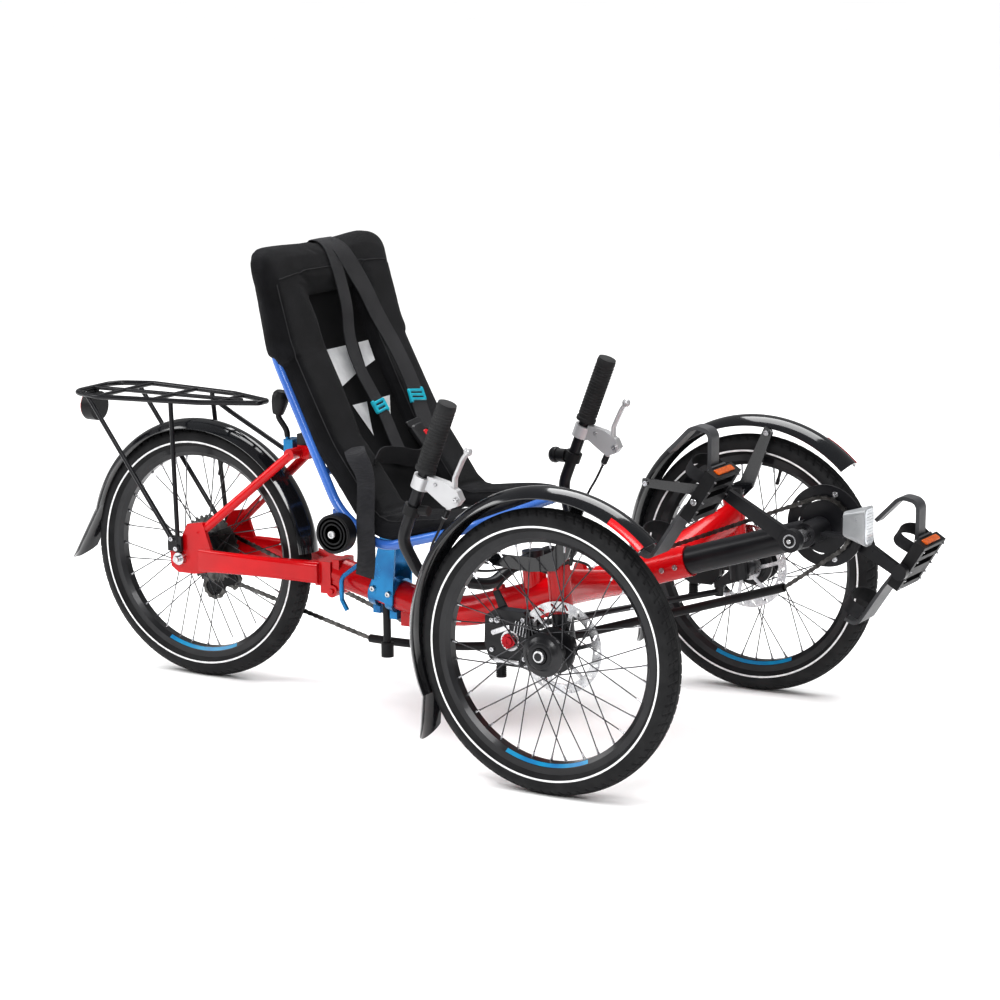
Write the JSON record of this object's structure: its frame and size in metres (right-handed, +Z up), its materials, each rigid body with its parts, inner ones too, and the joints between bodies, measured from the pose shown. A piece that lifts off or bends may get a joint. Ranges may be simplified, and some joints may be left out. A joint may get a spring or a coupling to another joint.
{
  "type": "folding recumbent tricycle",
  "caption": "Folding recumbent tricycle: a pair of steered wheels in front, a driven wheel behind, a reclined mesh seat and bars beside it.",
  "frame": {"origin": "on the floor, at half length and half width", "axes": "+X to the front, +Y to the rider's left, +Z up"},
  "size_m": [1.7857, 0.88, 0.8639],
  "materials": {
    "tyre": "matt rubber",
    "black_rim": "black anodised",
    "spoke_steel": "stainless",
    "black_paint": "satin black coat",
    "chain_steel": "oiled steel",
    "silver": "satin",
    "red_paint": "gloss powder coat",
    "black_plastic": "moulded",
    "guard_plastic": "gloss moulded",
    "lamp_red": "translucent red",
    "blue_paint": "satin powder coat",
    "mesh_fabric": "woven",
    "webbing": "woven strap",
    "grip_rubber": "soft"
  },
  "bodies": {
    "frame": {"main_frame": "red_paint", "boom": "black_paint", "headlight": "black_plastic", "chain": "chain_steel", "idler": "black_plastic", "chain_tube": "black_plastic", "seat_frame": "blue_paint", "seat_cover": "mesh_fabric", "seat_brace": "black_paint", "harness": "webbing", "seat_clamps": "blue_paint", "stand_foot": "silver"},
    "rear_section": {"rear_frame": "red_paint", "rear_axle": "silver", "rear_mudguard": "guard_plastic", "rack": "black_paint", "tail_lamp": "lamp_red", "derailleur": "black_plastic", "rear_chain": "chain_steel", "latch": "blue_paint"},
    "rear_wheel": {"rear_tyre": "tyre", "rear_rim": "black_rim", "rear_spokes": "spoke_steel", "rear_hub": "black_paint", "cassette": "chain_steel"},
    "handlebar": {"handlebar": "black_paint", "grips": "grip_rubber", "brake_levers": "black_paint", "bell_and_shifter": "black_plastic"},
    "cranks": {"right_crank": "black_paint", "left_crank": "black_paint", "crank_spindle": "silver", "chainring": "black_paint"},
    "right_knuckle": {"right_knuckle": "black_paint", "right_brake_caliper": "black_paint", "right_mudguard": "guard_plastic"},
    "right_wheel": {"right_tyre": "tyre", "right_rim": "black_rim", "right_spokes": "spoke_steel", "right_hub": "black_paint", "right_brake_disc": "silver"},
    "right_tie_rod": {"right_tie_rod": "black_paint"},
    "right_pedal": {"right_pedal": "black_plastic", "right_foot_rest": "black_plastic"},
    "right_roller": {"right_roller": "black_plastic"},
    "left_knuckle": {"left_knuckle": "black_paint", "left_brake_caliper": "black_paint", "left_mudguard": "guard_plastic"},
    "left_wheel": {"left_tyre": "tyre", "left_rim": "black_rim", "left_spokes": "spoke_steel", "left_hub": "black_paint", "left_brake_disc": "silver"},
    "left_tie_rod": {"left_tie_rod": "black_paint"},
    "left_pedal": {"left_pedal": "black_plastic", "left_foot_rest": "black_plastic"},
    "left_roller": {"left_roller": "black_plastic"}
  },
  "joints": [
    {"name": "rear_fold", "type": "hinge", "parent": "frame", "child": "rear_section", "pos_m": [-0.25998, 0, 0.205], "axis": [0, -1, 0], "range_deg": [0, 80]},
    {"name": "rear_wheel_spin", "type": "hinge", "parent": "rear_section", "child": "rear_wheel", "pos_m": [-0.57548, 0, 0.2475], "axis": [0, 1, 0], "continuous": true},
    {"name": "steer", "type": "hinge", "parent": "frame", "child": "handlebar", "pos_m": [0.16952, 0, 0.25], "axis": [-0.0872, 0, 0.9962], "range_deg": [-25, 25]},
    {"name": "crank_spin", "type": "hinge", "parent": "frame", "child": "cranks", "pos_m": [0.72252, 0, 0.409], "axis": [0, 1, 0], "continuous": true},
    {"name": "right_kingpin", "type": "hinge", "parent": "frame", "child": "right_knuckle", "pos_m": [0.40952, -0.335, 0.3435], "axis": [-0.0872, 0, 0.9962], "range_deg": [-25, 25]},
    {"name": "right_wheel_spin", "type": "hinge", "parent": "right_knuckle", "child": "right_wheel", "pos_m": [0.42452, -0.4, 0.2475], "axis": [0, 1, 0], "continuous": true},
    {"name": "right_tie_rod_eye", "type": "hinge", "parent": "handlebar", "child": "right_tie_rod", "pos_m": [0.12652, -0.01, 0.17], "axis": [-0.0872, 0, 0.9962], "range_deg": [-25, 25]},
    {"name": "right_pedal_spin", "type": "hinge", "parent": "cranks", "child": "right_pedal", "pos_m": [0.59259, 0, 0.48396], "axis": [0, 1, 0], "continuous": true},
    {"name": "right_roller_spin", "type": "hinge", "parent": "frame", "child": "right_roller", "pos_m": [-0.12348, 0, 0.365], "axis": [0, 1, 0], "continuous": true},
    {"name": "left_kingpin", "type": "hinge", "parent": "frame", "child": "left_knuckle", "pos_m": [0.40952, 0.335, 0.3435], "axis": [-0.0872, 0, 0.9962], "range_deg": [-25, 25]},
    {"name": "left_wheel_spin", "type": "hinge", "parent": "left_knuckle", "child": "left_wheel", "pos_m": [0.42452, 0.4, 0.2475], "axis": [0, 1, 0], "continuous": true},
    {"name": "left_tie_rod_eye", "type": "hinge", "parent": "handlebar", "child": "left_tie_rod", "pos_m": [0.12652, 0.01, 0.17], "axis": [-0.0872, 0, 0.9962], "range_deg": [-25, 25]},
    {"name": "left_pedal_spin", "type": "hinge", "parent": "cranks", "child": "left_pedal", "pos_m": [0.85245, 0, 0.33404], "axis": [0, 1, 0], "continuous": true},
    {"name": "left_roller_spin", "type": "hinge", "parent": "frame", "child": "left_roller", "pos_m": [-0.12348, 0, 0.365], "axis": [0, 1, 0], "continuous": true}
  ],
  "couplings": [
    {"joint": "right_kingpin", "follows": "steer", "ratio": 1},
    {"joint": "right_tie_rod_eye", "follows": "steer", "ratio": -1},
    {"joint": "left_kingpin", "follows": "steer", "ratio": 1},
    {"joint": "left_tie_rod_eye", "follows": "steer", "ratio": -1}
  ]
}
